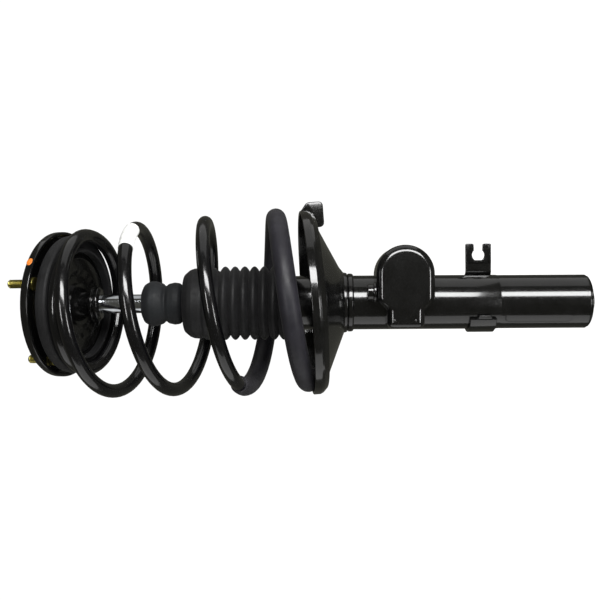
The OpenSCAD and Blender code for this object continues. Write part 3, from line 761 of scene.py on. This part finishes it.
class STRUT_OT_link_bracket(bpy.types.Operator):
    """Deep-drawn link bracket: a rounded cap with an open back, and its nut"""
    bl_idname = "strut.link_bracket"
    bl_label = "Link bracket"

    # How far the bracket's edge sinks into the tube, and the least distance of that edge from the axis
    bite, least_depth = 0.6, 6.2

    def outline(self, sizes, inset):
        """Outline seen from the front: down the tube, and towards +X."""
        half = sizes.link_w / 2 - inset
        top, waist, corner, low = 26, 17.2 - inset, max(6 - inset, 0.6), -18
        arc = [math.pi * k / 36 for k in range(37)]
        shares = (0.2, 0.4, 0.6, 0.8, 1)
        flank = [(half - (half - waist) * s * s * (3 - 2 * s), 4 - 12 * s) for s in shares]
        points = [(half * math.cos(a), top + half * math.sin(a)) for a in arc]
        points += [(-half, 14), (-half, 4)]
        points += [(-across, down) for across, down in flank]
        for side, start in ((-1, math.pi), (1, 1.5 * math.pi)):
            for k in range(7):
                a = start + math.pi / 2 * k / 6
                points.append((side * (waist - corner) + corner * math.cos(a), low + corner * math.sin(a)))
        return points + flank[::-1] + [(half, 4), (half, 14)]

    def ring(self, sizes, inset, depth, seated=False):
        """The outline as points of the frame at one distance from the axis."""
        ring = []
        for down, x in self.outline(sizes, inset):
            y = depth
            if seated:
                y = max(self.least_depth, math.sqrt(max(0, (sizes.tube_r - self.bite) ** 2 - x * x)))
            ring.append((x, -y, sizes.link_z - down))
        return ring

    def execute(self, context):
        sizes = context.scene.strut_sizes
        face, shoulder, sheet, steps = sizes.link_face, 7.2, 3.0, 8
        outer = [self.ring(sizes, 0, 0, True), self.ring(sizes, 0, 33)]
        inner = [self.ring(sizes, sheet, 0, True), self.ring(sizes, sheet, 33)]
        for k in range(steps + 1):
            a = math.pi / 2 * k / steps
            inset, depth = 1 - math.cos(a), 1 - math.sin(a)
            outer.append(self.ring(sizes, shoulder * inset, face - shoulder * depth))
            r = shoulder - sheet
            inner.append(self.ring(sizes, sheet + r * inset, face - sheet - r * depth))
        verts, faces = loft(inner[::-1] + outer)
        forward = Matrix.Rotation(math.pi / 2, 4, "X")
        pips = []
        for down in (-10.8, 8.4):
            place = Matrix.Translation((-16.6, -face + 0.1, sizes.link_z - down)) @ forward
            pips.append(moved(dome(0, 0, 0, 1.5, 0.9), place))
        verts, faces = join((verts, faces), *pips)
        bracket = make_piece("drawn_link_bracket", verts, faces, "gloss_black", smooth=45)
        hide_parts("link_bracket")
        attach(bracket, STRUT)
        low, high = low_of("link_nut"), high_of("link_nut")
        centre = (low + high) / 2
        hole = MOUNTS["link_nut"]["dims"]["r_mm"]
        body = [(hole, 0, 0.4), (9.2, 0, 0.6), (9.2, 2.2, 1.0), (7.6, 2.6, 0.5), (7.4, 7.4, 0.8),
                (6.6, 8, 0.5), (hole + 0.5, 8, 0.2), (hole, 7.5, 0.2)]
        place = Matrix.Translation((centre.x, centre.y, low.z))
        verts, faces = moved(lathe(rounded(body), 96), place)
        nut = make_piece("link_weld_nut", verts, faces, "gloss_black")
        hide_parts("link_nut")
        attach(nut, STRUT)
        return {"FINISHED"}


class STRUT_OT_hose_bracket(bpy.types.Operator):
    """Hose bracket: a strap welded round the tube that turns up into a keyholed plate"""
    bl_idname = "strut.hose_bracket"
    bl_label = "Hose bracket"

    plate_y = 5.0
    strap_end = math.radians(234)

    def execute(self, context):
        sizes = context.scene.strut_sizes
        low, high = low_of("hose_bracket"), high_of("hose_bracket")
        middle = (low.z + high.z) / 2
        sheet, half = 3.0, sizes.hose_w / 2
        reach = sizes.tube_r + sheet / 2 + 0.1
        bend = 5.5
        turn_y = self.plate_y + bend
        turn_angle = math.asin(turn_y / (reach + bend))
        turn_x = (reach + bend) * math.cos(turn_angle)
        path = [Vector((40, self.plate_y, 0)), Vector((turn_x, self.plate_y, 0))]
        for k in range(1, 9):
            a = -math.pi / 2 - (math.pi / 2 - turn_angle) * k / 8
            path.append(Vector((turn_x + bend * math.cos(a), turn_y + bend * math.sin(a), 0)))
        for k in range(1, 73):
            a = turn_angle + (self.strap_end - turn_angle) * k / 72
            path.append(Vector((reach * math.cos(a), reach * math.sin(a), 0)))
        rings = []
        section = rounded([(-half, -sheet / 2, 0.7), (half, -sheet / 2, 0.7), (half, sheet / 2, 0.7),
                           (-half, sheet / 2, 0.7)], 3)
        for point, ahead, across, up in ring_frames(path):
            rings.append([tuple(point + Vector((0, 0, middle + s)) + across * w) for s, w in section])
        strap = loft(rings)
        top, slot, hole = 56, 4.1, sizes.hose_hole_r
        centre = top - 11
        start = math.asin(slot / hole)
        key = [(36, -half, 1.5), (top, -half, 1.6), (top, -slot - 0.3, 1.6)]
        for k in range(25):
            a = -start - (2 * math.pi - 2 * start) * k / 24
            key.append((centre + hole * math.cos(a), hole * math.sin(a), 0))
        key += [(top, slot + 0.3, 1.6), (top, half, 1.6), (36, half, 1.5)]
        keyhole = rounded(key, 4)
        stand = Matrix.Translation((0, self.plate_y, middle)) @ Matrix.Rotation(-math.pi / 2, 4, "X")
        blade = moved(plate(keyhole, -1.5, 1.5, 0.5), stand)
        upright = Matrix(((0, 0, 1, 0), (1, 0, 0, 0), (0, 1, 0, 0), (0, 0, 0, 1)))
        at_end = Matrix.Rotation(self.strap_end, 4, "Z") @ Matrix.Translation((reach, 0, low.z)) @ upright
        flap = rounded([(-2, 5, 0.5), (4, 5, 1.5), (4, 17.5, 1.5), (-2, 17.5, 0.5)], 3)
        tongue = moved(plate(flap, -0.8, 0.8, 0.4), at_end)
        verts, faces = join(strap, blade, tongue)
        bracket = make_piece("hose_bracket_strap", verts, faces, "gloss_black", smooth=45)
        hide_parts("hose_bracket")
        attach(bracket, STRUT)
        return {"FINISHED"}


class STRUT_OT_damper(bpy.types.Operator):
    """Stop cup, bump stop and folded dust boot"""
    bl_idname = "strut.damper"
    bl_label = "Rod, bump stop and boot"

    def execute(self, context):
        self.stop_cup()
        self.bump_stop(context.scene.boot_sizes)
        self.boot(context.scene.boot_sizes, context.scene.strut_sizes)
        return {"FINISHED"}

    def stop_cup(self):
        low, high = low_of("stop_cup").z, high_of("stop_cup").z
        rod, spigot = 9.05, 7.05
        profile = [(rod, low, 0.3), (14.2, low, 1.2), (16.9, low + 2.2, 1.4), (16.9, high - 4.6, 0.8),
                   (15.6, high - 4.0, 0.5), (15.6, high - 3.2, 0.5), (16.9, high - 2.6, 0.8),
                   (16.6, high, 0.8), (spigot, high, 0), (spigot, low + 5, 0), (rod, low + 5, 0)]
        verts, faces = lathe(rounded(profile))
        cup = make_piece("rebound_stop_cup", verts, faces, "gloss_black")
        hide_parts("stop_cup")
        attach(cup, ROD)

    def bump_stop(self, sizes):
        base = low_of("bump_stop").z
        bore, top = 9.08, sizes.bump_len
        outer = [(bore, 0, 0.4), (12, 0, 1), (17, 2.5, 2), (18, 8, 3), (15, 14, 1), (15, 18, 1),
                 (17, 19.4, 2), (19.6, 22, 4), (20.3, 27, 5), (19.0, 32.6, 4), (16.6, 35.4, 1.6),
                 (19.4, 38.2, 4), (sizes.bump_r, 44.5, 6), (sizes.bump_r, 50, 7), (18.2, top - 2.4, 5),
                 (13, top, 2.5), (bore, top, 0.6)]
        profile = [(r, base + z) for r, z in rounded(outer, 7)]
        verts, faces = lathe(profile, 96)
        bump = make_piece("foam_bump_stop", verts, faces, "foam_rubber")
        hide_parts("bump_stop")
        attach(bump, BUMP)

    def boot(self, sizes, strut):
        low, high = low_of("dust_boot").z, high_of("dust_boot").z
        valley, crest, wall = strut.tube_r + 4.6, sizes.boot_r, sizes.boot_wall
        fold_top = high - 34
        pitch = (fold_top - low - 4) / sizes.folds
        outer = [(valley, low), (valley, low + 2)]
        for i in range(sizes.folds * 16 + 1):
            share = 0.5 - 0.5 * math.cos(2 * math.pi * i / 16)
            outer.append((valley + (crest - valley) * share ** 0.45, low + 3 + pitch * i / 16))
        shoulder = [(valley + 1.4, fold_top + 1.6, 1.5), (crest - 1.6, fold_top + 3.4, 2),
                    (crest - 0.4, fold_top + 7, 3), (crest - 0.6, fold_top + 13, 3),
                    (crest - 2.2, fold_top + 15, 1), (crest - 2.2, fold_top + 16.4, 1),
                    (crest - 1.4, fold_top + 18, 2),
                    (crest - 1.8, fold_top + 24, 3), (crest - 3.4, high - 6, 3), (crest - 8, high - 0.6, 4),
                    (15.3, high, 1)]
        outer += rounded([(valley, fold_top - 0.4, 0)] + shoulder, 5)[1:]
        inner = [(max(r - wall, 15.2), min(z, high - wall)) for r, z in outer]
        profile = outer + inner[::-1]
        verts, faces = lathe(profile, 120)
        boot = make_piece("folded_dust_boot", verts, faces, "moulded_rubber")
        weigh(boot, (0, 0, low * MM), (0, 0, high * MM))
        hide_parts("dust_boot")


class STRUT_OT_spring(bpy.types.Operator):
    """Coil spring, the rubber sleeve on its lowest coil and the label on its wire"""
    bl_idname = "strut.spring"
    bl_label = "Spring, sleeve and label"

    def execute(self, context):
        sizes = context.scene.spring_sizes
        self.wire(sizes)
        self.sleeve(sizes)
        self.label(sizes)
        return {"FINISHED"}

    def wire(self, sizes):
        turns = wire_stations(TOP_TURN, TURNS - 0.004)
        frames = ring_frames([wire_at(t) for t in turns])
        rings = [circle_ring(f, sizes.wire_r, sizes.sides) for f in frames]
        for radius, shift in ((0.985, 0.35), (0.93, 0.7), (0.86, 0.85)):
            rings.insert(0, circle_ring(frames[0], sizes.wire_r * radius, sizes.sides, -shift))
            rings.append(circle_ring(frames[-1], sizes.wire_r * radius, sizes.sides, shift * 0.3))
            turns = [TOP_TURN] + turns + [TURNS]
        spring = spring_piece("coil_spring_wire", rings, "spring_coating", "spring_coating")
        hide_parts("coil_spring")

    def sleeve(self, sizes):
        turns = wire_stations(SLEEVE_TURN, TURNS - 0.008)
        frames = ring_frames([wire_at(t) for t in turns])
        bore = sizes.wire_r + 0.12
        last = len(frames) - 1
        outer = []
        for i, f in enumerate(frames):
            lip = sizes.sleeve_r - 1.0 * clamp(1 - i / 3) - 0.8 * clamp(1 - (last - i) / 2)
            outer.append(circle_ring(f, lip, sizes.sides))
        inner = [circle_ring(f, bore, sizes.sides) for f in frames]
        rings = outer + inner[::-1]
        sleeve = spring_piece("spring_sleeve", rings, "moulded_rubber", "sleeve",
                              closed=True)
        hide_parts("lower_isolator")

    def label(self, sizes):
        turns = wire_stations(TAG_TURN, TAG_TURN + TAG_LENGTH, 400)
        frames = ring_frames([wire_at(t) for t in turns])
        outer = [circle_ring(f, sizes.wire_r + 0.4 + 0.12 * math.sin(i * 1.3), sizes.sides)
                 for i, f in enumerate(frames)]
        inner = [circle_ring(f, sizes.wire_r + 0.1, sizes.sides) for f in frames]
        rings = outer + inner[::-1]
        label = spring_piece("wire_label", rings, "paper_tag", "paper_tag", closed=True)
        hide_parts("spring_tag")


class STRUT_OT_top_mount(bpy.types.Operator):
    """Upper spring seat and its rubber, the mount plate, its studs and marker paint"""
    bl_idname = "strut.top_mount"
    bl_label = "Top mount"

    def execute(self, context):
        self.seat()
        self.plate()
        self.studs()
        return {"FINISHED"}

    def turned(self, name, corners, slot, body, nodes):
        """A piece turned round the mount's tilted axis."""
        verts, faces = lathe(rounded(corners), 144)
        piece = make_piece(name, verts, faces, slot, smooth=40, matrix=MOUNT_FRAME)
        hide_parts(*nodes)
        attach(piece, body)

    def seat(self):
        self.turned("upper_seat_pressing", [
            (13.1, -17, 0), (13.1, -20, 0), (28, -20, 2), (33, -23, 2), (44, -23, 2), (48, -20, 2),
            (59.5, -20, 1.5), (62, -18.5, 1.5), (62, -12, 1), (59.4, -12, 1), (59.4, -17, 2), (46, -17, 2),
            (42.5, -20, 2), (34.5, -20, 2), (30, -17, 2)], "gloss_black", ROD, ["upper_spring_seat"])
        self.turned("upper_seat_rubber", [
            (50, -20.4, 0.5), (60, -20.4, 1), (62.4, -18.4, 1), (62.4, -13, 0.8), (64.8, -13, 1.2),
            (65.6, -17, 2), (65.6, -22, 1.6), (64, -23.5, 1.2), (53, -23.5, 1), (52, -28.2, 1), (50, -28.2, 1)],
            "moulded_rubber", ROD, ["upper_isolator"])

    def plate(self):
        rim = high_of("mount_plate").x
        self.turned("mount_plate_pressing", [
            (rim, -7.9, 0.8), (rim, -0.2, 2.4), (58, 0, 3), (44, 0, 1.5), (41.5, 0, 2), (38.5, 2.6, 2),
            (36.2, 13.9, 2.5), (24, 13.9, 0.8), (24, 11.1, 0.6), (33, 11.1, 1.5), (34, -3, 1.5), (60, -3, 3),
            (rim - 3, -3.2, 1.8), (rim - 2.8, -7.9, 0.8)], "gloss_black", TOP, ["mount_plate"])
        verts, faces = dome(0, 0, 0, 3.2, 0.4, 24)
        turn = Matrix.Rotation(math.radians(-56), 4, "Z") @ Matrix.Translation((rim - 0.1, 0, -3.6))
        place = MOUNT_FRAME @ turn @ Matrix.Rotation(math.pi / 2, 4, "Y") @ Matrix.Diagonal((0.9, 1.2, 1, 1))
        dab = make_piece("marker_dab", verts, faces, "gloss_black", "marker", matrix=place)
        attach(dab, TOP)

    def studs(self):
        mount = MOUNTS["mount_studs"]["dims"]
        radius, top = mount["stud_r_mm"], 21
        thread = 1.25
        shank = [(0.02, -6, 0), (6.2, -6, 0.6), (6.2, -3.1, 0.4), (radius + 0.5, -3.1, 0),
                 (radius + 0.5, 0, 0), (radius, 0, 0), (radius, 1.5, 0)]
        outline = rounded(shank, 4)
        steps = round((top - 3) / thread)
        for i in range(steps):
            z = 1.8 + thread * i
            root = radius - 0.55
            outline += [(radius, z), (radius, z + 0.2), (root, z + 0.62), (root, z + 0.8)]
        outline += [(radius, top - 1.2), (radius - 0.9, top), (0.02, top)]
        parts = []
        for i in range(mount["count"]):
            angle = math.radians(-70 - 360 * i / mount["count"])
            place = Matrix.Rotation(angle, 4, "Z") @ Matrix.Translation((mount["pcd_mm"] / 2, 0, 0))
            parts.append(moved(lathe(outline, 40), place))
        verts, faces = join(*parts)
        studs = make_piece("threaded_mount_studs", verts, faces, "yellow_zinc", smooth=30,
                           matrix=MOUNT_FRAME)
        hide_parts("mount_studs")
        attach(studs, TOP)


class STRUT_OT_finishes(bpy.types.Operator):
    """Finishes for the frame's own nodes, by their material slots"""
    bl_idname = "strut.finishes"
    bl_label = "Finishes"

    def execute(self, context):
        made = materials()
        for part in frame["record"]["subparts"]:
            node = frame["nodes"][part["node"]]
            for place in node.material_slots:
                place.material = made[part["material_slot"]]
        return {"FINISHED"}


class STRUT_PT_panel(bpy.types.Panel):
    """Builds the strut's pieces"""
    bl_idname = "STRUT_PT_panel"
    bl_label = "Strut"
    bl_space_type = "VIEW_3D"
    bl_region_type = "UI"
    bl_category = "Strut"

    def draw(self, context):
        for operator in OPERATORS:
            self.layout.operator(operator.bl_idname)
        for group in GROUPS:
            holder = getattr(context.scene, group)
            for name in holder.bl_rna.properties.keys():
                if name not in ("name", "rna_type"):
                    self.layout.prop(holder, name)


OPERATORS = (STRUT_OT_stage, STRUT_OT_finishes, STRUT_OT_tube, STRUT_OT_lower_seat, STRUT_OT_link_bracket,
             STRUT_OT_hose_bracket, STRUT_OT_damper, STRUT_OT_spring, STRUT_OT_top_mount)
GROUPS = {"strut_sizes": StrutSizes, "spring_sizes": SpringSizes, "boot_sizes": BootSizes,
          "strut_finishes": StrutFinishes}
CLASSES = (*GROUPS.values(), *OPERATORS, STRUT_PT_panel)


def register():
    """Adds the classes and their settings to the scene."""
    for cls in CLASSES:
        bpy.utils.register_class(cls)
    for name, group in GROUPS.items():
        setattr(bpy.types.Scene, name, PointerProperty(type=group))


def unregister():
    """Takes the settings and classes away again."""
    for name in GROUPS:
        delattr(bpy.types.Scene, name)
    for cls in reversed(CLASSES):
        bpy.utils.unregister_class(cls)


def main():
    """Builds every piece in order."""
    register()
    for operator in OPERATORS:
        group, name = operator.bl_idname.split(".")
        getattr(getattr(bpy.ops, group), name)()


if __name__ == "__main__":
    main()
